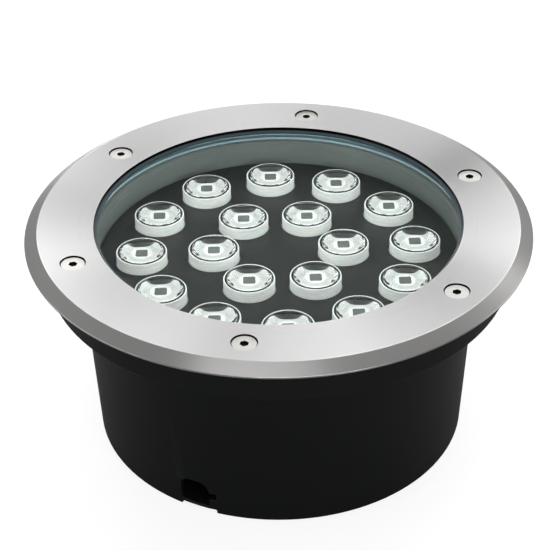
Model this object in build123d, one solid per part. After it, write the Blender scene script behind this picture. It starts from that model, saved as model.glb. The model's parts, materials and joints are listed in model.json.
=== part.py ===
"""Round in ground well light with a stainless face ring, thick glass and eighteen small lenses.

Millimetres. Z points up and the origin is the middle of the foot of the mounting sleeve.
-Y is the side where the supply cable leaves through the notch in the foot.

The light has three groups that come apart by hand:
  the mounting sleeve, a black plastic bucket that stays in the ground,
  the lamp, a cast cup with its light engine, driver and cable gland, which lifts out of it,
  the cover, the ring with its six screws, the glass and the gasket, which lifts off the lamp.
"""

import os
from build123d import *

# ---- driving dimensions -------------------------------------------------------------------

# face ring
ring_radius = 100.0
ring_thickness = 4.0
ring_lip_thickness = 1.6
ring_lip_cover = 4.2
ring_bevel_width = 5.1
ring_bevel_drop = 3.3
ring_overlap = 8.0
ring_relief = 0.5
ring_relief_gap = 0.6

# face screws, low head with a hexagon socket
screw_count = 6
screw_turn = 48.0
screw_edge = 4.35
screw_head_radius = 4.6
screw_head_height = 2.2
screw_radius = 2.5
screw_length = 12.0
screw_sunk = 0.2
screw_head_gap = 0.4
screw_hole_gap = 0.25
socket_flats = 3.0
socket_depth = 1.4
thread_gap = 0.02
tapped_depth = 1.5

# glass and its gasket
glass_thickness = 8.0
gasket_wall = 1.2
gasket_leg_width = 3.0
gasket_top_leg = 0.8
gasket_seat_leg = 1.0
gasket_gap = 0.3

# cast housing: a thick rim on a stepped cup
rim_clearance = 0.8
rim_width = 10.0
rim_height = 13.8
seat_width = 6.2
cup_step = 1.9
cup_wall = 2.6
cup_floor = 3.0
pillar_count = 3
pillar_width = 9.0
pillar_inset = 6.4
pillar_turn = 15.0

# mounting sleeve
collar_wall = 2.7
collar_gap = 1.0
ledge_thickness = 2.5
ledge_width = 13.0
barrel_taper = 3.75
barrel_wall = 2.5
sleeve_floor = 3.0
drain_count = 6
drain_length = 22.0
drain_width = 7.0
drain_inset = 23.25

# cable notch in the foot of the sleeve
notch_width = 12.0
notch_rise = 11.2
notch_corner = 4.5
notch_side_reach = 3.0
notch_side_height = 3.0
notch_side_rise = 3.6
notch_foot_height = 1.5
notch_depth = 8.0
corner_margin = 0.1

# light engine
outer_lens_count = 12
inner_lens_count = 6
inner_lens_turn = 30.0
inner_circle_share = 0.4744
lens_edge = 17.7
lens_radius = 10.1
lens_shoulder_width = 1.3
lens_shoulder = 0.9
lens_height = 11.5
lens_stand = 5.0
lens_to_glass = 6.5
emitter_width = 3.5
emitter_height = 1.6
emitter_gap = 0.9
plate_thickness = 2.0
plate_gap = 0.4
plate_hole_gap = 0.45
board_gap = 1.4
board_inset = 1.0
board_thickness = 1.6
heat_plate_thickness = 4.0
board_screw_radius = 2.0
board_screw_head_radius = 3.5
board_screw_head_height = 2.2
board_screw_grip = 8.4

# driver, terminal block and the flat leads between them
driver_length = 72.0
driver_width = 40.0
driver_height = 21.0
driver_headroom = 5.5
driver_offset = 13.0
driver_flange = 5.0
driver_flange_thickness = 2.0
pad_thickness = 1.0
terminal_length = 26.0
terminal_width = 11.0
terminal_height = 9.0
terminal_poles = 3
terminal_step = 3.0
terminal_to_driver = 9.0
lead_width = 4.6
lead_thickness = 1.8
lead_bend = 4.0
lead_reach = 8.0
lead_exit_drop = 7.0
lead_slot_gap = 1.1

# cable gland, screwed into a boss under the cup and pointing at the notch
seal_bore_radius = 3.9
seal_wall = 1.7
gland_neck_wall = 1.2
gland_neck_step = 1.2
gland_neck_length = 8.0
gland_thread_length = 9.0
gland_bore_gap = 0.7
gland_hex_step = 2.0
gland_hex_thickness = 5.0
gland_gap = 0.25
nut_wall = 2.45
nut_nose_step = 2.9
nut_nose_length = 4.0
nut_end_wall = 2.0
nut_bore_gap = 0.4
boss_wall = 2.0
boss_side_wall = 5.0
boss_length = 22.0
boss_front = 26.0
boss_clearance = 2.4
gland_drop = 11.6
passage_width = 12.0
passage_length = 9.0

# ---- radii that follow, from the ring inwards ---------------------------------------------

collar_radius = ring_radius - ring_overlap
collar_inside = collar_radius - collar_wall
rim_radius = collar_inside - rim_clearance
rebate_radius = rim_radius - rim_width
gasket_radius = rebate_radius - gasket_gap
glass_radius = gasket_radius - gasket_wall
ring_opening_radius = glass_radius - ring_lip_cover
screw_circle_radius = rim_radius - screw_edge
relief_radius = collar_radius + ring_relief_gap

mouth_radius = rebate_radius - seat_width
cup_radius = mouth_radius - cup_step
plate_radius = mouth_radius - plate_gap
heat_plate_radius = cup_radius - board_gap
board_radius = heat_plate_radius - board_inset
pillar_circle_radius = cup_radius - pillar_inset
outer_circle_radius = mouth_radius - lens_edge
inner_circle_radius = outer_circle_radius * inner_circle_share

barrel_top_radius = collar_radius - ledge_width
barrel_foot_radius = barrel_top_radius - barrel_taper
drain_circle_radius = barrel_foot_radius - drain_inset

# ---- cable gland sizes that follow, from the cable outwards -------------------------------

gland_bore_radius = seal_bore_radius + gland_bore_gap
seal_radius = seal_bore_radius + seal_wall
gland_neck_radius = seal_radius + gland_neck_wall
gland_thread_radius = gland_neck_radius + gland_neck_step
gland_hex_flats = 2 * (gland_thread_radius + gland_hex_step)
neck_end = gland_hex_thickness + gland_neck_length
nut_hollow_radius = gland_neck_radius + gland_gap
nut_flats = 2 * (nut_hollow_radius + nut_wall)
nut_back = gland_hex_thickness + gland_gap
nut_hollow_end = neck_end + gland_gap
nut_front = nut_hollow_end + nut_end_wall
boss_drop = gland_drop + gland_thread_radius + boss_wall
boss_width = 2 * (gland_thread_radius + boss_side_wall)

# ---- heights that follow, from the foot upwards -------------------------------------------

cup_under = sleeve_floor + boss_clearance + boss_drop
cup_floor_top = cup_under + cup_floor
driver_under = cup_floor_top + pad_thickness
driver_top = driver_under + driver_height
heat_plate_under = driver_top + driver_headroom
board_under = heat_plate_under + heat_plate_thickness
board_top = board_under + board_thickness
lens_top = board_top + lens_height
plate_top = lens_top - lens_stand
plate_under = plate_top - plate_thickness
step_under = plate_under - cup_wall

glass_under = lens_top + lens_to_glass
glass_seat = glass_under - gasket_seat_leg
glass_top = glass_under + glass_thickness
lip_under = glass_top + gasket_top_leg
ring_top = lip_under + ring_lip_thickness
ring_under = ring_top - ring_thickness
rim_top = ring_under + ring_relief
ledge_top = rim_top - rim_height
ledge_under = ledge_top - ledge_thickness
collar_top = ring_under - collar_gap

screw_head_top = ring_top - screw_sunk
screw_head_under = screw_head_top - screw_head_height
screw_end = screw_head_under - screw_length
board_screw_end = heat_plate_under - board_screw_grip
gland_height = cup_under - gland_drop
gland_place = Pos(0, -boss_front, gland_height) * Rot(90, 0, 0)
terminal_front = driver_offset - driver_width / 2 - terminal_to_driver
terminal_middle = driver_length / 2 - terminal_length / 2


# ---- small helpers ------------------------------------------------------------------------


def turned(*profile):
    """A solid of revolution about Z, from a closed profile of (radius, height) points."""
    return revolve(Plane.XZ * make_face(Polyline(*profile, close=True)), Axis.Z)


def rod(radius, low, high):
    """A round bar on the Z axis between two heights."""
    return Pos(0, 0, (low + high) / 2) * Cylinder(radius, high - low)


def hexagon(flats, low, high):
    """A hexagonal bar on the Z axis between two heights."""
    return Pos(0, 0, low) * extrude(RegularPolygon(flats / 2, 6, major_radius=False), high - low)


def block(x_low, x_high, y_low, y_high, z_low, z_high):
    """A rectangular block between two corners."""
    middle = Pos((x_low + x_high) / 2, (y_low + y_high) / 2, (z_low + z_high) / 2)
    return middle * Box(x_high - x_low, y_high - y_low, z_high - z_low)


def around(radius, count, turn, piece):
    """Copies of a piece on a circle, the first at the angle turn."""
    return [place * piece for place in PolarLocations(radius, count, turn)]


def at_lenses(piece):
    """Copies of a piece under each of the eighteen lenses."""
    outer = around(outer_circle_radius, outer_lens_count, 0, piece)
    inner = around(inner_circle_radius, inner_lens_count, inner_lens_turn, piece)
    return outer + inner


# ---- mounting sleeve, which stays in the ground -------------------------------------------


def cable_notch():
    """The tools that cut the arched notch, its low side slot and the shallow channel below it."""
    outside = -barrel_top_radius - barrel_wall
    inside = -barrel_foot_radius + notch_depth
    half = notch_width / 2
    side = half + notch_side_reach
    arch = block(-half, half, outside, inside, sleeve_floor, sleeve_floor + notch_rise)
    top_edges = arch.edges().filter_by(Axis.Y).group_by(Axis.Z)[-1]
    arch = fillet(top_edges, min(notch_corner, half - corner_margin, notch_rise - corner_margin))
    slot_low = sleeve_floor + notch_side_rise
    slot = block(0, side, outside, inside, slot_low, slot_low + notch_side_height)
    channel = block(-half, side, outside, inside, 0, min(notch_foot_height, sleeve_floor / 2))
    return [arch, slot, channel]


def mounting_sleeve():
    """Moulded bucket: a collar round the lamp's rim, a ledge that carries it and a drafted barrel."""
    body = turned(
        (0, 0),
        (barrel_foot_radius, 0),
        (barrel_top_radius, ledge_under),
        (collar_radius, ledge_under),
        (collar_radius, collar_top),
        (collar_inside, collar_top),
        (collar_inside, ledge_top),
        (barrel_top_radius - barrel_wall, ledge_top),
        (barrel_foot_radius - barrel_wall, sleeve_floor),
        (0, sleeve_floor),
    )
    drain = Pos(0, 0, sleeve_floor / 2) * Box(drain_length, drain_width, sleeve_floor)
    return body - around(drain_circle_radius, drain_count, 0, drain) - cable_notch()


# ---- housing ------------------------------------------------------------------------------


def gland_boss():
    """The block under the cup that the cable gland screws into."""
    return block(-boss_width / 2, boss_width / 2, -boss_front, boss_length - boss_front,
                 cup_under - boss_drop, cup_under + cup_floor / 2)


def cable_passage():
    """The tapped hole for the gland and the way up from it into the cup."""
    hole = gland_place * rod(gland_thread_radius + thread_gap, -gland_thread_length - passage_length, 0)
    middle = -boss_front + gland_thread_length + passage_length / 2
    shaft = block(-passage_width / 2, passage_width / 2, middle - passage_length / 2,
                  middle + passage_length / 2, gland_height, cup_floor_top)
    return [hole, shaft]


def housing():
    """Cast cup with a thick rim, a step for the lens plate, pillars for the heat plate and the boss."""
    body = turned(
        (0, cup_under),
        (cup_radius + cup_wall, cup_under),
        (cup_radius + cup_wall, step_under),
        (mouth_radius + cup_wall, step_under),
        (mouth_radius + cup_wall, ledge_top),
        (rim_radius, ledge_top),
        (rim_radius, rim_top),
        (rebate_radius, rim_top),
        (rebate_radius, glass_seat),
        (mouth_radius, glass_seat),
        (mouth_radius, plate_under),
        (cup_radius, plate_under),
        (cup_radius, cup_floor_top),
        (0, cup_floor_top),
    )
    pillar = block(pillar_circle_radius - pillar_width / 2, cup_radius + cup_wall / 2, -pillar_width / 2,
                   pillar_width / 2, cup_floor_top - cup_floor / 2, heat_plate_under)
    body += around(0, pillar_count, pillar_turn, pillar)
    body += gland_boss()
    ring_hole = rod(screw_radius + thread_gap, screw_end - tapped_depth, rim_top)
    board_hole = rod(board_screw_radius + thread_gap, board_screw_end - tapped_depth, heat_plate_under)
    body -= around(screw_circle_radius, screw_count, screw_turn, ring_hole)
    body -= around(pillar_circle_radius, pillar_count, pillar_turn, board_hole)
    return body - cable_passage()


# ---- cover: ring, screws, glass and gasket ------------------------------------------------


def face_ring():
    """Flat ring with a bevelled edge, a rebate for the glass and a counterbore for each screw.

    Its underside is cut back a little over the rim and the collar, so only the outer land bears
    on the paving.
    """
    body = turned(
        (ring_opening_radius, lip_under),
        (rebate_radius, lip_under),
        (rebate_radius, rim_top),
        (relief_radius, rim_top),
        (relief_radius, ring_under),
        (ring_radius, ring_under),
        (ring_radius, ring_top - ring_bevel_drop),
        (ring_radius - ring_bevel_width, ring_top),
        (ring_opening_radius, ring_top),
    )
    counterbore = rod(screw_head_radius + screw_head_gap, screw_head_under, ring_top)
    hole = rod(screw_radius + screw_hole_gap, rim_top, screw_head_under)
    body -= around(screw_circle_radius, screw_count, screw_turn, counterbore)
    return body - around(screw_circle_radius, screw_count, screw_turn, hole)


def face_screws():
    """Six low head screws with a hexagon socket."""
    head = rod(screw_head_radius, screw_head_under, screw_head_top)
    shank = rod(screw_radius, screw_end, screw_head_under)
    socket = hexagon(socket_flats, screw_head_top - socket_depth, screw_head_top)
    return Compound(around(screw_circle_radius, screw_count, screw_turn, head + shank - socket))


def glass_window():
    """Thick toughened glass disc."""
    return rod(glass_radius, glass_under, glass_top)


def glass_gasket():
    """Rubber gasket with a U section that wraps the edge of the glass."""
    lip_radius = glass_radius - gasket_leg_width
    return turned(
        (lip_radius, glass_seat),
        (gasket_radius, glass_seat),
        (gasket_radius, lip_under),
        (lip_radius, lip_under),
        (lip_radius, glass_top),
        (glass_radius, glass_top),
        (glass_radius, glass_under),
        (lip_radius, glass_under),
    )


# ---- light engine -------------------------------------------------------------------------


def lens_plate():
    """Black plate on the step in the cup's wall, with a round hole for each lens."""
    plate = rod(plate_radius, plate_under, plate_top)
    return plate - at_lenses(rod(lens_radius + plate_hole_gap, plate_under, plate_top))


def lenses():
    """Eighteen clear lenses with a frosted skirt, a sloping shoulder and a pocket over the emitter."""
    lens = turned(
        (0, board_top),
        (lens_radius, board_top),
        (lens_radius, lens_top - lens_shoulder),
        (lens_radius - lens_shoulder_width, lens_top),
        (0, lens_top),
    )
    half = emitter_width / 2 + emitter_gap
    pocket = block(-half, half, -half, half, board_top, board_top + emitter_height + emitter_gap)
    return Compound(at_lenses(lens - pocket))


def led_emitters():
    """Eighteen square light emitting packages, one under each lens."""
    half = emitter_width / 2
    return Compound(at_lenses(block(-half, half, -half, half, board_top, board_top + emitter_height)))


def lead_slot(low, high):
    """The slot through board and heat plate that the flat lead comes up in."""
    middle = driver_length / 2 + lead_reach
    half_length = lead_width / 2 + lead_slot_gap
    half_width = lead_thickness / 2 + lead_slot_gap
    return block(middle - half_width, middle + half_width, driver_offset - half_length,
                 driver_offset + half_length, low, high)


def led_board():
    """Round circuit board with three screw holes and a slot for the lead."""
    hole = rod(board_screw_radius + screw_hole_gap, board_under, board_top)
    board = rod(board_radius, board_under, board_top)
    board -= around(pillar_circle_radius, pillar_count, pillar_turn, hole)
    return board - lead_slot(board_under, board_top)


def heat_plate():
    """Aluminium plate that carries the board on the cup's pillars."""
    hole = rod(board_screw_radius + screw_hole_gap, heat_plate_under, board_under)
    plate = rod(heat_plate_radius, heat_plate_under, board_under)
    plate -= around(pillar_circle_radius, pillar_count, pillar_turn, hole)
    return plate - lead_slot(heat_plate_under, board_under)


def board_screws():
    """Three screws through the board and the heat plate into the pillars."""
    head = rod(board_screw_head_radius, board_top, board_top + board_screw_head_height)
    shank = rod(board_screw_radius, board_screw_end, board_top)
    return Compound(around(pillar_circle_radius, pillar_count, pillar_turn, head + shank))


# ---- driver and leads ---------------------------------------------------------------------


def driver():
    """Potted driver in a box with a fixing flange at each end."""
    case = block(-driver_length / 2, driver_length / 2, driver_offset - driver_width / 2,
                 driver_offset + driver_width / 2, driver_under, driver_top)
    reach = driver_length / 2 + driver_flange
    flanges = block(-reach, reach, driver_offset - driver_width / 4, driver_offset + driver_width / 4,
                    driver_under, driver_under + driver_flange_thickness)
    return case + flanges


def driver_pad():
    """Adhesive pad that holds the driver to the floor of the cup and carries its heat away."""
    return block(-driver_length / 2, driver_length / 2, driver_offset - driver_width / 2,
                 driver_offset + driver_width / 2, cup_floor_top, driver_under)


def terminal_block():
    """Three pole terminal block with a stepped tower for each pole."""
    left = terminal_middle - terminal_length / 2
    back = terminal_front - terminal_width
    base = block(left, left + terminal_length, back, terminal_front,
                 cup_floor_top, cup_floor_top + terminal_height - terminal_step)
    pitch = terminal_length / terminal_poles
    for pole in range(terminal_poles):
        middle = left + pitch * (pole + 0.5)
        base += block(middle - pitch / 3, middle + pitch / 3, back + terminal_width / 4,
                      terminal_front - terminal_width / 4, cup_floor_top, cup_floor_top + terminal_height)
    return base


def input_leads():
    """Short flat lead between the terminal block and the driver."""
    low = cup_floor_top + (terminal_height - terminal_step) / 2 - lead_thickness / 2
    return block(terminal_middle - lead_width / 2, terminal_middle + lead_width / 2, terminal_front,
                 terminal_front + terminal_to_driver, low, low + lead_thickness)


def output_leads():
    """Flat lead from the end of the driver up through the heat plate to the board."""
    start = (driver_length / 2, driver_offset, driver_top - lead_exit_drop)
    corner = (driver_length / 2 + lead_reach, driver_offset, driver_top - lead_exit_drop)
    end = (driver_length / 2 + lead_reach, driver_offset, board_top)
    route = FilletPolyline(start, corner, end, radius=min(lead_bend, lead_reach - corner_margin))
    section = Plane(origin=start, x_dir=(0, 1, 0), z_dir=(1, 0, 0)) * Rectangle(lead_width, lead_thickness)
    return sweep(section, route)


# ---- cable gland --------------------------------------------------------------------------


def gland_body():
    """Gland body: thread in the boss, hexagon outside it and a hollow neck for the seal."""
    body = rod(gland_thread_radius, -gland_thread_length, 0)
    body += hexagon(gland_hex_flats, 0, gland_hex_thickness)
    body += rod(gland_neck_radius, gland_hex_thickness, neck_end)
    body -= rod(gland_bore_radius, -gland_thread_length, gland_hex_thickness)
    return gland_place * (body - rod(seal_radius, gland_hex_thickness, neck_end))


def gland_seal():
    """Rubber sleeve in the neck that closes on the cable."""
    sleeve = rod(seal_radius, gland_hex_thickness, neck_end)
    return gland_place * (sleeve - rod(seal_bore_radius, gland_hex_thickness, neck_end))


def gland_nut():
    """Cap nut over the neck, with a hexagon grip and a tapering nose."""
    nose_back = nut_front - nut_nose_length
    body = hexagon(nut_flats, nut_back, nose_back)
    nose = Cone(nut_flats / 2, nut_flats / 2 - nut_nose_step, nut_nose_length)
    body += Pos(0, 0, (nose_back + nut_front) / 2) * nose
    body -= rod(nut_hollow_radius, nut_back, nut_hollow_end)
    return gland_place * (body - rod(seal_bore_radius + nut_bore_gap, nut_hollow_end, nut_front))


# ---- write one file per piece -------------------------------------------------------------

pieces = {
    "mounting_sleeve": mounting_sleeve,
    "housing": housing,
    "face_ring": face_ring,
    "face_screws": face_screws,
    "glass_window": glass_window,
    "glass_gasket": glass_gasket,
    "lens_plate": lens_plate,
    "lenses": lenses,
    "led_emitters": led_emitters,
    "led_board": led_board,
    "heat_plate": heat_plate,
    "board_screws": board_screws,
    "driver": driver,
    "driver_pad": driver_pad,
    "terminal_block": terminal_block,
    "input_leads": input_leads,
    "output_leads": output_leads,
    "gland_body": gland_body,
    "gland_seal": gland_seal,
    "gland_nut": gland_nut,
}

os.makedirs("parts", exist_ok=True)
for name, make in pieces.items():
    export_step(make(), f"parts/{name}.step")
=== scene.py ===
# %% [markdown]
# # A round in ground well light, dressed for the studio
#
# The light is a black plastic sleeve that stays in the soil, a cast lamp that drops into it, and a
# stainless ring that clamps a thick glass over eighteen small lenses. The CAD solids come in as a
# fixed frame: every piece below is placed by them, in metres, and rides on one of its bodies.

# %% Load the frame
import bpy
import bmesh
from math import cos, pi, radians, sin
from mathutils import Matrix, Vector
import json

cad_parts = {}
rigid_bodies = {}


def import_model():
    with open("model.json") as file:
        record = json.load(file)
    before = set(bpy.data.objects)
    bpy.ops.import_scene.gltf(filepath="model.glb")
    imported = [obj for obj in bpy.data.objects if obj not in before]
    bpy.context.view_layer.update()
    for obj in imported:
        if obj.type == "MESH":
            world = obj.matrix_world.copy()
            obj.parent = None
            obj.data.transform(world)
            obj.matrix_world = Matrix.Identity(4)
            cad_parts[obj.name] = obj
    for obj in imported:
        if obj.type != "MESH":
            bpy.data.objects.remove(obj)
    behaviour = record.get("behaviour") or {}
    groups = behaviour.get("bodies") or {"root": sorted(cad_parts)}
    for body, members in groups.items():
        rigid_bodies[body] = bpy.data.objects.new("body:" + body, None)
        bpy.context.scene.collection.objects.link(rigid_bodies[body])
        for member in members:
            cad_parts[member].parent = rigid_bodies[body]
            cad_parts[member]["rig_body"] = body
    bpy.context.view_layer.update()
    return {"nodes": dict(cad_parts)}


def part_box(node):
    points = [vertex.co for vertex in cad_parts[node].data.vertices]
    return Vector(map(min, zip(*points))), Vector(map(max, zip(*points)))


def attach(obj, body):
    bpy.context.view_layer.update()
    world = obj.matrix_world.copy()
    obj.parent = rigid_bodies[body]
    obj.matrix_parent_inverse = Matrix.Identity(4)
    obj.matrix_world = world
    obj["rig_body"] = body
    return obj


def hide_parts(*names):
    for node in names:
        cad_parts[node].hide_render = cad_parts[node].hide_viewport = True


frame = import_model()
MM = 0.001

# %% [markdown]
# ## Camera
#
# A product photograph like this is taken with a longish lens, so that the round ring keeps its shape.
# The ring's two ellipses fix where the camera stood. A camera could be aimed with a Track To
# constraint, but three plain turns in a matrix say the same and leave nothing live in the scene.

# %% Camera
CAMERA_PLACE = Vector((0.26480, -0.52670, 0.46023))
CAMERA_TURN = 0.46865      # radians about Z, anticlockwise from looking along +Y
CAMERA_DROP = 0.59157      # radians below the horizontal
CAMERA_ROLL = -0.01454
FOCAL_LENGTH = 115.33      # mm, on a sensor 36 mm wide

camera_data = bpy.data.cameras.new("studio_camera")
camera_data.lens = FOCAL_LENGTH
camera_data.sensor_width = 36.0
camera_data.clip_start = 0.01
camera = bpy.data.objects.new("studio_camera", camera_data)
bpy.context.scene.collection.objects.link(camera)
camera.matrix_world = (
    Matrix.Translation(CAMERA_PLACE)
    @ Matrix.Rotation(CAMERA_TURN, 4, "Z")
    @ Matrix.Rotation(pi / 2 - CAMERA_DROP, 4, "X")
    @ Matrix.Rotation(CAMERA_ROLL, 4, "Z")
)
bpy.context.scene.camera = camera
print("camera stands", round(CAMERA_PLACE.length, 3), "m from the middle of the foot")

# %% [markdown]
# ## Materials, a first helper
#
# A material is a small tree of nodes. They could be placed by hand in the shader editor. Here one
# helper adds a node, sets its options and fills or links its sockets, so each finish below reads as a
# short recipe. Colours are written as sRGB hex, as a paint chart gives them, and turned to linear.


# %% Node and colour helpers
def linear(hex_colour):
    """An sRGB hex colour as linear RGBA."""
    parts = [int(hex_colour[i:i + 2], 16) / 255 for i in (1, 3, 5)]
    return [p / 12.92 if p <= 0.04045 else ((p + 0.055) / 1.055) ** 2.4 for p in parts] + [1.0]


def add(tree, kind, settings=None, **sockets):
    """Adds a node, sets its options, and sets or links its sockets, named in lower case."""
    node = tree.nodes.new("ShaderNode" + kind)
    for option, value in (settings or {}).items():
        setattr(node, option, value)
    for name, value in sockets.items():
        if name[0] == "_":
            socket = node.inputs[int(name[1:])]
        else:
            socket = next(s for s in node.inputs if s.enabled and s.name.lower().replace(" ", "_") == name)
        if isinstance(value, bpy.types.NodeSocket):
            tree.links.new(value, socket)
        else:
            socket.default_value = value
    return node


def new_finish(name):
    """An empty material and its node tree."""
    material = bpy.data.materials.new(name)
    material.use_nodes = True
    material.node_tree.nodes.clear()
    return material, material.node_tree


print("mid grey #808080 is", round(linear("#808080")[0], 3), "in linear light")

# %% [markdown]
# ## Softening the edges of the solids
#
# No real edge is perfectly sharp: pressing, turning and moulding all leave a small radius, and that
# radius is what catches the light. The CAD solids are exact but sharp. Their edges could be rounded in
# sculpting or by hand. Here each piece is a copy of its solid with the flat facets merged and a live
# Bevel modifier, so that the size stays the CAD's and only the edge changes.


# %% Rounded copies of the CAD solids
def stand_in(piece, node, *finishes):
    """Gives a piece its finishes, lets it ride where the CAD node rides, and hides the node."""
    solid = frame["nodes"][node]
    piece.data.materials.clear()
    for finish in finishes:
        piece.data.materials.append(finish)
    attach(piece, solid["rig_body"])
    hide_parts(node)
    return piece


def rounded(node, radius, *finishes, steps=2):
    """A copy of a CAD node with its sharp edges rounded by a radius in mm."""
    mesh = frame["nodes"][node].data.copy()
    work = bmesh.new()
    work.from_mesh(mesh)
    bmesh.ops.remove_doubles(work, verts=work.verts, dist=0.001 * MM)
    bmesh.ops.dissolve_limit(work, angle_limit=radians(0.2), verts=work.verts, edges=work.edges)
    work.to_mesh(mesh)
    work.free()
    if mesh.has_custom_normals:
        mesh.attributes.remove(mesh.attributes["custom_normal"])
    mesh.shade_smooth()
    mesh.name = node + "_rounded"
    piece = bpy.data.objects.new(node + "_rounded", mesh)
    bpy.context.scene.collection.objects.link(piece)
    bevel = piece.modifiers.new("edge_radius", "BEVEL")
    bevel.width = radius * MM
    bevel.segments = steps
    bevel.limit_method = "ANGLE"
    bevel.angle_limit = radians(30)
    bevel.use_clamp_overlap = False
    bevel.harden_normals = True
    return stand_in(piece, node, *finishes)


print("CAD nodes to dress:", len(frame["nodes"]))

# %% [markdown]
# ## Brushed stainless steel, for the ring
#
# The ring is stainless steel sheet, brushed on a turntable, so its grain runs in circles. That grain
# stretches every reflection across it into rays that all point at the middle. Scratches could be
# modelled, with far too many faces. An anisotropic shader with a radial tangent gives those rays, and
# fine circular lines break them up. The real lines are about 0.1 mm apart, too fine to show here, so they
# are drawn at 0.5 mm, and those of the turned faces below at 0.4 and 0.45 mm.


# %% Brushed stainless steel
def circle_lines(tree, spacing):
    """Noise that runs in circles about Z, with a spacing in mm, for turned and brushed metal."""
    place = add(tree, "TexCoord").outputs["Object"]
    split = add(tree, "SeparateXYZ", vector=place)
    flat = add(tree, "CombineXYZ", x=split.outputs["X"], y=split.outputs["Y"])
    radius = add(tree, "VectorMath", {"operation": "LENGTH"}, vector=flat.outputs["Vector"])
    across = add(tree, "Math", {"operation": "MULTIPLY"}, _0=radius.outputs["Value"], _1=1 / (spacing * MM))
    drift = add(tree, "Math", {"operation": "MULTIPLY"}, _0=split.outputs["Z"], _1=1 / (spacing * MM))
    total = add(tree, "Math", {"operation": "ADD"}, _0=across.outputs["Value"], _1=drift.outputs["Value"])
    return add(tree, "TexNoise", {"noise_dimensions": "1D"}, w=total.outputs["Value"], scale=1.0,
               detail=2.0, roughness=0.6).outputs["Fac"]


brushed_steel, tree = new_finish("stainless_steel_brushed_in_circles")
lines = circle_lines(tree, 0.5)
grain = add(tree, "Bump", strength=0.05, distance=0.02 * MM, height=lines)
rough = add(tree, "MapRange", value=lines, to_min=0.26, to_max=0.32).outputs["Result"]
shine = add(tree, "BsdfPrincipled", base_color=linear("#d9d8d8"), metallic=1.0, roughness=rough,
            anisotropic=0.9, anisotropic_rotation=0.25, normal=grain.outputs["Normal"],
            tangent=add(tree, "Tangent", {"direction_type": "RADIAL", "axis": "Z"}).outputs["Tangent"])
add(tree, "OutputMaterial", surface=shine.outputs["BSDF"])
print("brushed steel:", len(tree.nodes), "nodes")

# %% [markdown]
# ## The ring's turned faces
#
# The wall of the opening and the bevel are turned on a lathe, and the counterbores are cut. Bare steel is
# much lighter than the #1e1f1f of the walls: that dark colour is painted shade, matched to the photograph,
# which shows a dark line at the opening. The bevel's turned finish is real, and its colour, greyer than the
# face's, is painted shade. One finish for the whole ring would be shorter and would lose both. The CAD
# gives the ring one material, so each face gets its finish by where it lies and which way it looks.

# %% Turned faces
# The walls' near black colour is painted shade, not the colour of bare steel.
turned_steel_painted_shade, tree = new_finish("stainless_steel_fine_turned")
rough = add(tree, "MapRange", value=circle_lines(tree, 0.4), to_min=0.06, to_max=0.12).outputs["Result"]
shine = add(tree, "BsdfPrincipled", base_color=linear("#1e1f1f"), metallic=1.0, roughness=rough)
add(tree, "OutputMaterial", surface=shine.outputs["BSDF"])

# The bevel's colour, greyer than the face's, is painted shade; its roughness and grain are the turned finish.
bevel_steel_painted_shade, tree = new_finish("stainless_steel_turned_bevel")
rough = add(tree, "MapRange", value=circle_lines(tree, 0.45), to_min=0.27, to_max=0.31).outputs["Result"]
shine = add(tree, "BsdfPrincipled", base_color=linear("#b6b5b4"), metallic=1.0, anisotropic=0.4,
            anisotropic_rotation=0.25, roughness=rough,
            tangent=add(tree, "Tangent", {"direction_type": "RADIAL", "axis": "Z"}).outputs["Tangent"])
add(tree, "OutputMaterial", surface=shine.outputs["BSDF"])

# %% Ring
BEVEL_FROM = 94            # mm from the middle; the bevel starts at 94.9
LEVEL, UPRIGHT = 0.98, 0.3     # upward part of a normal: level from the first on, upright below the second
ring = rounded("face_ring", 0.12, brushed_steel, turned_steel_painted_shade, bevel_steel_painted_shade)
# Upright faces take the dark painted shade, and the bevel its greyer painted shade.
for face in ring.data.polygons:
    reach = Vector(face.center[:2]).length / MM
    if reach > BEVEL_FROM and face.normal.z < LEVEL:
        face.material_index = 2
    else:
        face.material_index = 1 if abs(face.normal.z) < UPRIGHT else 0
print("turned faces on the ring:", sum(face.material_index > 0 for face in ring.data.polygons))

# %% [markdown]
# ## The six screws
#
# They are stainless socket screws with a low, flat head. The heads are cold headed, pressed to shape in a
# die, which leaves an even and slightly rough skin that looks pale and soft. Its real grit is finer than
# 0.1 mm, and is drawn at 0.4 mm, and at 0.3 mm in the socket, to show. The punched hexagon is drawn dark,
# as painted shade, because light hardly gets into it. Its faces could be picked by hand, but their distance
# from the screw's middle tells them apart.
#
# The tops of the heads lie 0.3 mm lower than in the solids, which shows more of each counterbore's wall.

# %% Screw finishes
screw_steel, tree = new_finish("stainless_steel_cold_headed")
grit = add(tree, "TexNoise", scale=1 / (0.4 * MM), detail=3.0,
           vector=add(tree, "TexCoord").outputs["Object"]).outputs["Fac"]
rough = add(tree, "MapRange", value=grit, to_min=0.3, to_max=0.42).outputs["Result"]
shine = add(tree, "BsdfPrincipled", base_color=linear("#e4e2de"), metallic=1.0, roughness=rough)
add(tree, "OutputMaterial", surface=shine.outputs["BSDF"])

# The socket's dark colour is painted shade in the recess.
socket_painted_shade, tree = new_finish("stainless_steel_punched_socket")
grit = add(tree, "TexNoise", scale=1 / (0.3 * MM),
           vector=add(tree, "TexCoord").outputs["Object"]).outputs["Fac"]
rough = add(tree, "MapRange", value=grit, to_min=0.4, to_max=0.6).outputs["Result"]
shine = add(tree, "BsdfPrincipled", base_color=linear("#202122"), metallic=1.0, roughness=rough)
add(tree, "OutputMaterial", surface=shine.outputs["BSDF"])

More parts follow.
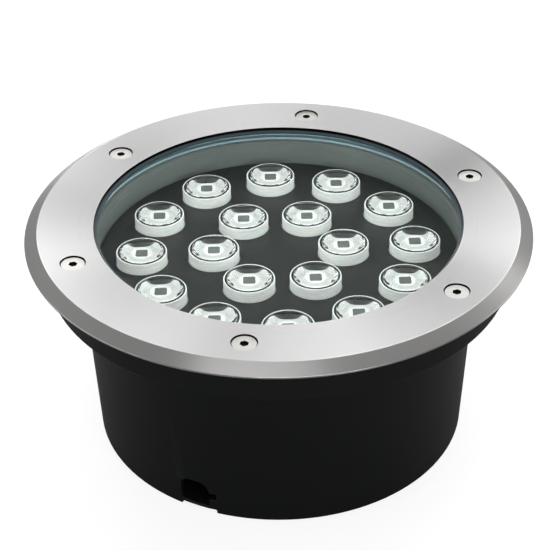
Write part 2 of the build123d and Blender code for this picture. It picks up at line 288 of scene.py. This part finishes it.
# %% Screws
screws = rounded("face_screws", 0.2, screw_steel, socket_painted_shade)
SCREW_CIRCLE, FIRST_SCREW = 84.15, radians(48)
screw_places = [(SCREW_CIRCLE * cos(FIRST_SCREW + k * pi / 3), SCREW_CIRCLE * sin(FIRST_SCREW + k * pi / 3))
                for k in range(6)]
SOCKET_REACH = 2           # mm from a screw's middle; its socket's faces are nearer
TOP_BAND, TOP_DROP = 0.1, 0.3               # mm: what counts as the top of a head, and how far it goes down
head_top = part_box("face_screws")[1].z
# The socket's faces get the painted shade finish.
for face in screws.data.polygons:
    reach = min((Vector(place) - Vector(face.center[:2]) / MM).length for place in screw_places)
    if reach < SOCKET_REACH and face.center.z < head_top - TOP_BAND * MM:
        face.material_index = 1
for point in screws.data.vertices:
    if point.co.z > head_top - TOP_BAND * MM:
        point.co.z -= TOP_DROP * MM
print("dark socket faces:", sum(face.material_index for face in screws.data.polygons))

# %% [markdown]
# ## Glass
#
# The window is 8 mm soda lime glass, toughened, with a ground arris round its edge. It bends what is
# under it, which is why the lens plate looks nearer than it is. Real glass also lets light fall
# through it as bright caustics, which are slow to trace. So shadow rays meet a clear pane instead,
# through Light Path, and everything else meets true glass.
#
# In the solids the glass touches its gasket all round. It is drawn 0.2 mm smaller in radius, so that its
# edge and the gasket are two surfaces and not one.


# %% Glass and acrylic, which let shadow rays pass
def clear_finish(name, tint, shadow_tint, ior, roughness):
    """A clear solid material with true refraction that casts only a faint shadow."""
    material, tree = new_finish(name)
    body = add(tree, "BsdfPrincipled", base_color=linear(tint), roughness=roughness, ior=ior,
               transmission_weight=1.0)
    pane = add(tree, "BsdfTransparent", color=linear(shadow_tint))
    shadow = add(tree, "LightPath").outputs["Is Shadow Ray"]
    mixed = add(tree, "MixShader", _0=shadow, _1=body.outputs["BSDF"], _2=pane.outputs["BSDF"])
    add(tree, "OutputMaterial", surface=mixed.outputs[0])
    return material


window_glass = clear_finish("soda_lime_glass_toughened", "#f9fcfb", "#f4f8f6", 1.52, 0.0)
window = rounded("glass_window", 0.6, window_glass, steps=1)
GLASS_RADIUS, GLASS_EDGE_GAP = 77, 0.2      # mm
for point in window.data.vertices:
    point.co.xy *= 1 - GLASS_EDGE_GAP / GLASS_RADIUS

# %% [markdown]
# ## Rubber
#
# The gasket and the gland's seal are EPDM rubber, moulded, which comes out black, dull and slightly
# bloomed. Real moulded grain is about 0.1 mm across. Here, and in the parts below, it is drawn at 0.3 to
# 0.8 mm, so that it shows. Each finish could have a tree of its own, but they differ only in their
# numbers, so one helper makes them.
#
# The gasket's leg under the glass, and its wall round the glass, are blue grey, to match the band that
# the photograph shows there. On the real light some of that colour probably belongs to the glass. The
# glass could be tinted instead, but its tint is set on its surface and would colour the lenses as well.


# %% Rubber
PATCH_MM, PATCH_TONE = 18, 1.25             # size of the patches, and how much lighter they can get
ROUGHNESS_SWING = 0.06     # that the grain adds and takes away


def matt_moulding(name, hex_colour, roughness, grain_mm, depth_mm=0.02, gloss=0.5):
    """A moulded plastic, rubber or coat with a fine grain and faint patches of a lighter tone."""
    material, tree = new_finish(name)
    place = add(tree, "TexCoord").outputs["Object"]
    grain = add(tree, "TexNoise", scale=1 / (grain_mm * MM), detail=4.0, vector=place).outputs["Fac"]
    patch = add(tree, "TexNoise", scale=1 / (PATCH_MM * MM), detail=2.0, vector=place).outputs["Fac"]
    share = add(tree, "MapRange", value=patch, to_min=0.2, to_max=0.8).outputs["Result"]
    tone = add(tree, "Mix", {"data_type": "RGBA"}, _0=share, _6=linear(hex_colour),
               _7=[c * PATCH_TONE for c in linear(hex_colour)[:3]] + [1.0])
    relief = add(tree, "Bump", strength=0.5, distance=depth_mm * MM, height=grain)
    rough = add(tree, "MapRange", value=grain, to_min=roughness - ROUGHNESS_SWING,
                to_max=roughness + ROUGHNESS_SWING).outputs["Result"]
    skin = add(tree, "BsdfPrincipled", base_color=tone.outputs[2], specular_ior_level=gloss,
               roughness=rough, normal=relief.outputs["Normal"])
    add(tree, "OutputMaterial", surface=skin.outputs["BSDF"])
    return material


gasket_rubber = matt_moulding("epdm_rubber_moulded", "#0b0c0c", 0.6, 0.6, gloss=0.2)
seat_silicone = matt_moulding("silicone_moulded_blue_grey", "#b0cad3", 0.5, 0.6)
gasket = rounded("glass_gasket", 0.2, gasket_rubber, seat_silicone)
BLUE_TOP, BLUE_REACH = 0.089, 0.0775        # m; what lies lower and nearer to the middle is blue grey
for face in gasket.data.polygons:
    by_the_glass = face.center.z < BLUE_TOP and Vector(face.center[:2]).length < BLUE_REACH
    face.material_index = 1 if by_the_glass else 0
rounded("gland_seal", 0.2, gasket_rubber)
print("blue grey faces on the gasket:", sum(face.material_index for face in gasket.data.polygons))

# %% [markdown]
# ## The cast housing
#
# The cup is pressure die cast aluminium with a grey powder coat, which is what shows between the glass
# and the lens plate. Powder coat melts into a skin with a fine orange peel, about 1.5 mm across, which
# softens what it reflects. It could be a metal with a coat over it, but powder coat is opaque and no metal
# shows through, so the helper for mouldings serves.

# %% Powder coated casting
coated_casting = matt_moulding("cast_aluminium_grey_powder_coat", "#767d7a", 0.42, 1.5, depth_mm=0.03)
cup = rounded("housing", 0.4, coated_casting)
print("housing", len(cup.data.polygons), "faces before its edges are rounded")

# %% [markdown]
# ## The lens plate
#
# A black polycarbonate plate hides the circuit board. It is moulded with a fine matt grain, which scatters
# what it reflects. It could share the gasket's black, but in the photograph its black is a little green.

# %% Lens plate
plate_black = matt_moulding("polycarbonate_black_matt", "#0c1413", 0.48, 0.5)
plate = rounded("lens_plate", 0.25, plate_black)
print("lens plate", len(plate.data.polygons), "faces")

# %% [markdown]
# ## Lenses
#
# Each lens is a clear acrylic body that narrows towards its emitter, held in a frosted skirt. Light that
# strikes the side of the cone from inside is thrown forward. A painted picture of that would look wrong
# from any other side, so the body is turned from a profile and refracts by itself. Only the frosted parts
# are helped by a glow, which their cell explains.
#
# From the camera's height, rays leave through the back of the cone, up to about 46 degrees to either
# side, and show the outer floor of the skirt, which is drawn in shade. Further round they are totally
# reflected, pass the middle at about 0.6 of the radius they started from and meet the white well there,
# which makes the bright lobes. The well flares below its top, so that more of them meet it, and lies
# about 0.2 mm into the acrylic. With a gap of air round it the lobes went dark. The true inside isn't
# known: this one was shaped until it looked like the photograph.
#
# First comes a helper that turns a profile, as a lathe would. A Screw modifier could do it, but the helper
# puts all eighteen in one mesh.


# %% Turned meshes
def turned(name, profile, places, steps=64):
    """Turns a profile of (radius, height) points in mm about Z, once at each (x, y) place."""
    points, faces = [], []
    closed = profile[0][0] > 0 or profile[-1][0] > 0
    for x, y in places:
        rows = []
        for radius, height in profile:
            count = steps if radius > 0 else 1
            rows.append((len(points), count))
            for k in range(count):
                a = 2 * pi * k / steps
                points.append(((x + radius * cos(a)) * MM, (y + radius * sin(a)) * MM, height * MM))
        for (low, low_count), (high, high_count) in zip(rows, rows[1:] + rows[:1] * closed):
            for k in range(steps):
                after = (k + 1) % steps
                corners = [low + k % low_count, low + after % low_count,
                           high + after % high_count, high + k % high_count]
                faces.append(list(dict.fromkeys(corners)))
    mesh = bpy.data.meshes.new(name)
    mesh.from_pydata(points, [], faces)
    work = bmesh.new()
    work.from_mesh(mesh)
    bmesh.ops.recalc_face_normals(work, faces=work.faces)
    work.to_mesh(mesh)
    work.free()
    mesh.shade_smooth()
    mesh.set_sharp_from_angle(angle=radians(32))
    piece = bpy.data.objects.new(name, mesh)
    bpy.context.scene.collection.objects.link(piece)
    return piece


LENS_CIRCLES = ((54.6, 12, 0), (25.902, 6, 30))     # radius in mm, how many, and turn in degrees


def lens_places():
    """The middles of the lenses in mm: twelve on the outer circle, six on the inner one."""
    middles = []
    for radius, count, turn in LENS_CIRCLES:
        for k in range(count):
            a = radians(turn + 360 * k / count)
            middles.append((radius * cos(a), radius * sin(a)))
    return middles


print(len(lens_places()), "lenses on", len(LENS_CIRCLES), "circles")

# %% [markdown]
# ## Lip of the gasket
#
# A dark bead lies on the glass just inside the ring's opening, which has a radius of 72.8 mm. It is drawn
# as silicone. The solids don't have it, and what it really is is a guess. It could be a curve with a
# bevel, but the helper for turned meshes is at hand.

# %% Gasket lip
lip_silicone = matt_moulding("silicone_lip_blue_black", "#2b383d", 0.5, 0.6, gloss=0.3)
lip_profile = [(71.5, 89.15), (72.7, 89.15), (72.7, 90.3), (71.8, 90.3), (71.5, 90.1)]
stand_in(turned("gasket_lip", lip_profile, [(0, 0)], steps=160), "glass_gasket", lip_silicone)
print("lip", round(max(z for r, z in lip_profile) - min(z for r, z in lip_profile), 2), "mm high")

# %% [markdown]
# ## The clear bodies
#
# They are moulded acrylic, polished by their mould, so they are perfectly smooth, and they bend light a
# little less than the glass does: IOR 1.49. A raised disc forms the top, the flange under it fits inside
# the skirt, and below comes the cone, with a cavity for the well. They could be cut from a cylinder with
# a Boolean, but a turned profile gives even faces all round.

# %% Lens bodies
lens_foot, lens_crown = (corner.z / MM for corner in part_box("lenses"))
print("lenses stand from", round(lens_foot, 2), "to", round(lens_crown, 2), "mm")
acrylic = clear_finish("acrylic_clear_moulded", "#fdfefd", "#f9fbfa", 1.49, 0.0)

top = lens_crown
roof = top - 3.4           # of the white well in the middle of the lens
body_profile = [
    (0, top - 0.05), (8.4, top - 0.05), (8.7, top - 0.15), (8.8, top - 0.35), (8.8, top - 0.85),
    (9.5, top - 0.9), (9.5, top - 1.5), (8.7, top - 1.7),
    (8.1, top - 2.7), (7.5, top - 3.8), (6.8, top - 5.1), (6.1, top - 6.4), (5.4, top - 7.7),
    (4.8, top - 8.8), (4.4, top - 9.4), (3.2, top - 9.4), (3.7, top - 8.8), (4.7, top - 6.0),
    (3.9, roof - 0.4), (3.7, roof - 0.15), (0, roof - 0.15),
]
bodies = stand_in(turned("lens_bodies", body_profile, lens_places()), "lenses", acrylic)
print(len(lens_places()), "lens bodies,", len(bodies.data.polygons), "faces")

# %% [markdown]
# ## Frosted parts of the lenses
#
# The skirt and the well are acrylic from a blasted tool: white, soft edged and slightly lit through. Fine
# level lines left by the cutter run round them, drawn 0.7 mm apart, coarser than real ones, to show.
#
# They also glow, which isn't real: an unlit lens gives no light. A real one gathers light into its middle.
# Here shadow rays pass straight through clear pieces, which loses that light, so an emission stands in
# for it, set to match the photograph. Tracing the caustics instead would be truer and slower. The inner
# walls and the outer floor of the skirt have no glow, because they are drawn in shade.


# %% Frosted acrylic
LINE_TONE = 0.7            # how dark the level lines are, against the acrylic


def frosted_acrylic(name, hex_colour, gathered=0.0):
    """Acrylic from a blasted tool. gathered is the strength of the glow that stands in for gathered light."""
    material, tree = new_finish(name)
    place = add(tree, "TexCoord").outputs["Object"]
    long_way, line_gap = 1 / (6 * MM), 1 / (0.7 * MM)
    level = add(tree, "Mapping", vector=place, scale=(long_way, long_way, line_gap))
    frost = add(tree, "TexNoise", vector=level.outputs["Vector"], scale=1.0, detail=3.0).outputs["Fac"]
    share = add(tree, "MapRange", value=frost, to_min=-0.6, to_max=1.6).outputs["Result"]
    tone = add(tree, "Mix", {"data_type": "RGBA"}, _0=share,
               _6=[c * LINE_TONE for c in linear(hex_colour)[:3]] + [1.0], _7=linear(hex_colour))
    relief = add(tree, "Bump", strength=0.4, distance=0.08 * MM, height=frost)
    rough = add(tree, "MapRange", value=frost, to_min=0.3, to_max=0.55).outputs["Result"]
    shine = add(tree, "BsdfPrincipled", base_color=tone.outputs[2], roughness=rough,
                subsurface_weight=0.2, subsurface_scale=MM, normal=relief.outputs["Normal"],
                emission_color=linear(hex_colour), emission_strength=gathered)
    add(tree, "OutputMaterial", surface=shine.outputs["BSDF"])
    return material


skirt_white = frosted_acrylic("acrylic_frosted_white", "#f2f6f3", gathered=0.35)
skirt_grey = frosted_acrylic("acrylic_frosted_in_shade", "#5a605e")
well_white = frosted_acrylic("acrylic_frosted_well", "#f4f8f6", gathered=0.7)
pane_grey = frosted_acrylic("acrylic_frosted_square_pane", "#8b9692")
print("frosted finishes:", [finish.name for finish in (skirt_white, skirt_grey, well_white, pane_grey)])

# %% [markdown]
# ## Skirts, wells and joints
#
# The skirt is a plain cup round the lens, and the well is the white block in its middle. A thin dark line
# runs round the raised disc, where it meets its flange: a dark ring with painted shade, for the shadow in
# the gap there. What the real lens has there is a guess. It could be a darker stripe in the clear finish,
# but a thin ring of its own is simpler to place.

# %% Skirts, wells and joints
FLOOR_HOLE, WHITE_FLOOR = 3.6, 7.4          # mm; the skirt's floor is white up to the second radius
skirt_profile = [
    (FLOOR_HOLE, lens_foot + 0.1), (10.1, lens_foot + 0.1), (10.1, top - 0.95), (10.0, top - 0.8),
    (9.7, top - 0.7), (9.55, top - 0.8), (9.55, top - 5.0), (9.55, lens_foot + 0.9),
    (WHITE_FLOOR, lens_foot + 0.9), (FLOOR_HOLE, lens_foot + 0.9),
]
well_profile = [
    (0, roof), (3.9, roof), (4.1, roof - 0.25), (4.9, top - 6.0), (3.9, top - 8.8), (3.4, lens_foot + 2.1),
    (0, lens_foot + 2.1),
]
skirts = turned("lens_skirts", skirt_profile, lens_places())
stand_in(skirts, "lenses", skirt_white, skirt_grey, well_white)
stand_in(turned("lens_wells", well_profile, lens_places()), "lenses", well_white)
# The joint's dark colour is painted shade in the gap round the disc.
joint_painted_shade = matt_moulding("acrylic_joint_in_shade", "#1c2221", 0.5, 0.4, gloss=0.2)
joint_profile = [(8.86, top - 0.89), (9.25, top - 0.89), (9.25, top - 0.62), (8.86, top - 0.62)]
stand_in(turned("lens_joints", joint_profile, lens_places()), "lenses", joint_painted_shade)


def middle_of(face):
    """How far a face is from the middle of the nearest lens, in mm."""
    point = Vector(face.center) / MM
    return min((Vector((x, y)) - point.xy).length for x, y in lens_places())


SKIRT_INSIDE = 9.8         # mm from a lens's middle; the faces inside the skirt are nearer
for face in skirts.data.polygons:
    height = face.center.z / MM
    if FLOOR_HOLE < middle_of(face) < SKIRT_INSIDE and lens_foot + 0.5 < height < top - 1:
        is_floor = abs(face.normal.z) > 0.5
        face.material_index = 2 if is_floor and middle_of(face) < WHITE_FLOOR else 1
print("skirts:", sum(face.material_index == 1 for face in skirts.data.polygons), "faces in shade")

# %% [markdown]
# ## The square in each lens
#
# A grey square shows in the middle of each lens. It is probably the emitter seen through the lens, which
# is a guess. It is drawn as a thin pane in the top of the well, and all are turned alike. It could be a
# square with a Bevel modifier, but a square with cut corners has only eight points to write out.

# %% Square panes
PANE_HALF, PANE_TURN = 2.3, radians(28)     # mm, and the turn of every square
square = [(1, 0.8), (0.8, 1), (-0.8, 1), (-1, 0.8), (-1, -0.8), (-0.8, -1), (0.8, -1), (1, -0.8)]
panes = bmesh.new()
for x, y in lens_places():
    place = Matrix.Translation(Vector((x, y, 0))) @ Matrix.Rotation(PANE_TURN, 4, "Z")
    low, high = [[panes.verts.new(place @ Vector((PANE_HALF * u, PANE_HALF * v, z)) * MM) for u, v in square]
                 for z in (roof - 0.1, roof + 0.06)]
    panes.faces.new(low[::-1])
    panes.faces.new(high)
    for k in range(len(square)):
        after = (k + 1) % len(square)
        panes.faces.new((low[k], low[after], high[after], high[k]))
pane_mesh = bpy.data.meshes.new("lens_panes")
panes.to_mesh(pane_mesh)
panes.free()
pane = bpy.data.objects.new("lens_panes", pane_mesh)
bpy.context.scene.collection.objects.link(pane)
stand_in(pane, "lenses", pane_grey)
print("panes:", len(pane_mesh.polygons), "faces")

# %% [markdown]
# ## Emitters
#
# Each emitter is a white ceramic square, sintered, which is matt and slightly grainy. A real one has a
# small die under clear silicone on top, which could be modelled. Here the well covers the emitter, so the
# solid from the CAD is enough.

# %% Emitters
ceramic = matt_moulding("alumina_ceramic_white", "#dfe2df", 0.5, 0.3)
emitters = rounded("led_emitters", 0.15, ceramic)
print("emitters", len(emitters.data.polygons), "faces")

# %% [markdown]
# ## Circuit board and heat plate
#
# The board is glass fibre with a printed white solder mask, which is smooth and half glossy. Under it a
# turned aluminium plate spreads its heat, with circular tool marks drawn at 0.6 mm so that they show. Zinc
# plated screws hold both. All of it is hidden under the lens plate and is a guess. It could be left plain,
# but the parts are reused one by one, and then they should look like what they are.

# %% Board and heat plate
solder_mask = matt_moulding("solder_mask_white", "#e6e8e4", 0.35, 0.8)
rounded("led_board", 0.1, solder_mask)
sheet_aluminium, tree = new_finish("aluminium_sheet_turned")
rough = add(tree, "MapRange", value=circle_lines(tree, 0.6), to_min=0.3, to_max=0.42).outputs["Result"]
shine = add(tree, "BsdfPrincipled", base_color=linear("#c8cacb"), metallic=1.0, roughness=rough)
add(tree, "OutputMaterial", surface=shine.outputs["BSDF"])
rounded("heat_plate", 0.3, sheet_aluminium)
zinc, tree = new_finish("steel_zinc_plated")
grit = add(tree, "TexNoise", scale=1 / (0.5 * MM), detail=3.0,
           vector=add(tree, "TexCoord").outputs["Object"]).outputs["Fac"]
rough = add(tree, "MapRange", value=grit, to_min=0.28, to_max=0.4).outputs["Result"]
shine = add(tree, "BsdfPrincipled", base_color=linear("#b4b8bc"), metallic=1.0, roughness=rough)
add(tree, "OutputMaterial", surface=shine.outputs["BSDF"])
rounded("board_screws", 0.2, zinc)

# %% [markdown]
# ## Driver, terminal block and leads
#
# The driver is a black moulded case filled with potting, stuck to the cup's floor on a grey silicone pad.
# A natural nylon block takes the supply, and flat grey leads join block, driver and board. Each could have
# a tree of its own, but they differ only in tone, roughness and grain, so the one helper serves them all.

# %% Driver and wiring
driver_case = matt_moulding("abs_black_potted_case", "#2b2c2e", 0.45, 0.7)
rounded("driver", 0.6, driver_case)
pad_grey = matt_moulding("silicone_pad_grey", "#7e8587", 0.7, 0.5)
rounded("driver_pad", 0.15, pad_grey)
terminal_nylon = matt_moulding("polyamide_natural", "#d9dcd6", 0.4, 0.6)
rounded("terminal_block", 0.3, terminal_nylon)
lead_jacket = matt_moulding("pvc_jacket_grey", "#9a9c9e", 0.45, 0.5)
rounded("input_leads", 0.3, lead_jacket)
rounded("output_leads", 0.3, lead_jacket)

# %% [markdown]
# ## Cable gland
#
# The gland is black nylon: a body screwed into the cup and a cap nut that squeezes the seal on the cable.
# The photograph doesn't show it, so its form is a guess. It is drawn a little lighter and glossier than the
# sleeve, which tells the two blacks apart. Its threads could be modelled, but they lie in the cup's boss
# and under the nut.

# %% Gland
gland_nylon = matt_moulding("polyamide_black_gland", "#26282a", 0.42, 0.5)
rounded("gland_body", 0.3, gland_nylon)
rounded("gland_nut", 0.3, gland_nylon)

# %% [markdown]
# ## The sleeve
#
# The sleeve is injection moulded polypropylene, filled with carbon black against sunlight, with the even
# spark eroded grain of its tool, which scatters what it reflects. The grain could be displaced, but one
# so fine needs only a bump. Its gloss is set below a plastic's usual value, to keep its walls black.

# %% Sleeve
sleeve_plastic = matt_moulding("polypropylene_black_grained", "#0a0b0b", 0.4, 0.7, depth_mm=0.02,
                               gloss=0.2)
sleeve = rounded("mounting_sleeve", 0.5, sleeve_plastic)
print("sleeve", len(sleeve.data.polygons), "faces")

# %% [markdown]
# ## Studio
#
# The light stands on a plain white floor under a white tent, with softboxes that the ring reflects.
# Metal and glass show little but what stands round them, so most of the look is made here.
#
# The floor could be a plain white plane. This one is white to the camera and mid grey to every other ray,
# so that the ring and the sleeve don't reflect a white floor. That is a studio device and not physical.
# From below it is clear, so that the foot can be seen.

# %% Floor
FLOOR_HALF, FLOOR_SINK = 3, 0.0002          # m; sunk so that it is just clear of the foot
floor_corners = [(x * FLOOR_HALF, y * FLOOR_HALF, 0) for x, y in ((-1, -1), (1, -1), (1, 1), (-1, 1))]
floor_mesh = bpy.data.meshes.new("studio_floor")
floor_mesh.from_pydata(floor_corners, [], [(0, 1, 2, 3)])
floor = bpy.data.objects.new("studio_floor", floor_mesh)
bpy.context.scene.collection.objects.link(floor)
floor.location.z = -FLOOR_SINK
floor_white, tree = new_finish("painted_floor_white")
LIT_GREY, DIM_GREY = (0.25, 0.25, 0.25, 1.0), (0.22, 0.22, 0.22, 1.0)   # linear, about #898989 and #818181
speck = add(tree, "TexNoise", scale=1 / (4 * MM),
            vector=add(tree, "TexCoord").outputs["Object"]).outputs["Fac"]
rough = add(tree, "MapRange", value=speck, to_min=0.8, to_max=0.9).outputs["Result"]
lit = add(tree, "BsdfPrincipled", base_color=LIT_GREY, roughness=rough,
          emission_color=(1.0, 1.0, 1.0, 1.0), emission_strength=0.8)
dim = add(tree, "BsdfPrincipled", base_color=DIM_GREY, roughness=0.9)
seen = add(tree, "LightPath").outputs["Is Camera Ray"]
upper = add(tree, "MixShader", _0=seen, _1=dim.outputs["BSDF"], _2=lit.outputs["BSDF"])
from_below = add(tree, "NewGeometry").outputs["Backfacing"]
clear = add(tree, "BsdfTransparent")
sides = add(tree, "MixShader", _0=from_below, _1=upper.outputs[0], _2=clear.outputs["BSDF"])
add(tree, "OutputMaterial", surface=sides.outputs[0])
floor.data.materials.append(floor_white)
print("floor", [round(side, 1) for side in floor.dimensions[:2]], "m")

# %% [markdown]
# ## Tent and flag
#
# The tent is the world itself, even and dim, and pure white where the camera sees it. A photographer
# hangs a dark flag to see into glass, and here one hangs on the far side, where the glass would mirror
# the tent to the camera. It could be a black plane, but a smooth dip in the tent's brightness leaves no
# hard edge in the steel.

# %% Tent and flag
world = bpy.data.worlds.new("studio_tent")
bpy.context.scene.world = world
world.use_nodes = True
tree = world.node_tree
tree.nodes.clear()
FLAG_AZIMUTH, FLAG_ELEVATION = radians(117), radians(33)    # where the camera's view goes off the glass
FLAG_EDGE, FLAG_CORE = radians(24), radians(13)             # from its middle: where it starts, and is full
TENT_LIGHT, FLAG_LIGHT = 0.3, 0.06
flag = (cos(FLAG_AZIMUTH) * cos(FLAG_ELEVATION), sin(FLAG_AZIMUTH) * cos(FLAG_ELEVATION), sin(FLAG_ELEVATION))
towards = add(tree, "VectorMath", {"operation": "DOT_PRODUCT"}, _0=add(tree, "TexCoord").outputs["Generated"],
              _1=flag)
cloth = add(tree, "MapRange", {"interpolation_type": "SMOOTHSTEP"}, value=towards.outputs["Value"],
            from_min=cos(FLAG_EDGE), from_max=cos(FLAG_CORE), to_min=TENT_LIGHT, to_max=FLAG_LIGHT)
tent = add(tree, "Background", color=(1.0, 1.0, 1.0, 1.0), strength=cloth.outputs["Result"])
backdrop = add(tree, "Background", color=(1.0, 1.0, 1.0, 1.0), strength=1.0)
seen = add(tree, "LightPath").outputs["Is Camera Ray"]
both = add(tree, "MixShader", _0=seen, _1=tent.outputs["Background"], _2=backdrop.outputs["Background"])
add(tree, "OutputWorld", surface=both.outputs[0])
print("tent", TENT_LIGHT, "and flag", FLAG_LIGHT)

# %% [markdown]
# ## Softboxes
#
# Each softbox is an area light that faces the ring. Point lamps could light it, but brushed steel shows
# the shape of every light as a streak, and broad lights give broad, soft ones. From low angles other than
# the camera's, the glass mirrors a low softbox as white.

# %% Softboxes
RING_MIDDLE = Vector((0, 0, 0.09))
SOFTBOX_REACH = 1.6        # m from the ring's middle


def softbox(name, azimuth, elevation, width, height, power):
    """A softbox that faces the light: angles in degrees, sizes in m, power in watts."""
    data = bpy.data.lights.new(name, "AREA")
    data.shape = "RECTANGLE"
    data.size, data.size_y, data.energy = width, height, power
    lamp = bpy.data.objects.new(name, data)
    bpy.context.scene.collection.objects.link(lamp)
    a, e = radians(azimuth), radians(elevation)
    lamp.location = Vector((cos(a) * cos(e), sin(a) * cos(e), sin(e))) * SOFTBOX_REACH + RING_MIDDLE
    lamp.rotation_euler = (RING_MIDDLE - lamp.location).to_track_quat("-Z", "Y").to_euler()
    return lamp


softbox("softbox_behind_low", 120, 6, 1.1, 0.5, 9.0)
softbox("softbox_behind_right", 90, 25, 0.6, 0.6, 2.7)
softbox("softbox_behind_left", 140, 25, 0.6, 0.6, 1.6)
softbox("softbox_right_high", 75, 42, 0.8, 0.8, 4.0)
softbox("softbox_left_high", 150, 45, 0.6, 1.1, 5.5)
softbox("softbox_overhead", 90, 65, 0.7, 0.7, 5.5)
softbox("softbox_overhead_left", 130, 58, 0.5, 0.5, 1.4)
softbox("softbox_left_low", 215, 11, 1.6, 0.5, 9.0)
softbox("softbox_front_low", 310, 16, 1.5, 0.6, 16.0)
softbox("softbox_front_high", 280, 60, 1.0, 1.0, 3.2)
softbox("softbox_right_low", 42, 10, 1.0, 0.5, 7.0)
print("softboxes:", sum(data.name.startswith("softbox") for data in bpy.data.lights))

# %% [markdown]
# ## Picture
#
# The Standard view shows a colour as the finish gives it, where the default view would soften it.

# %% View
import json

bpy.context.scene.view_settings.view_transform = "Standard"
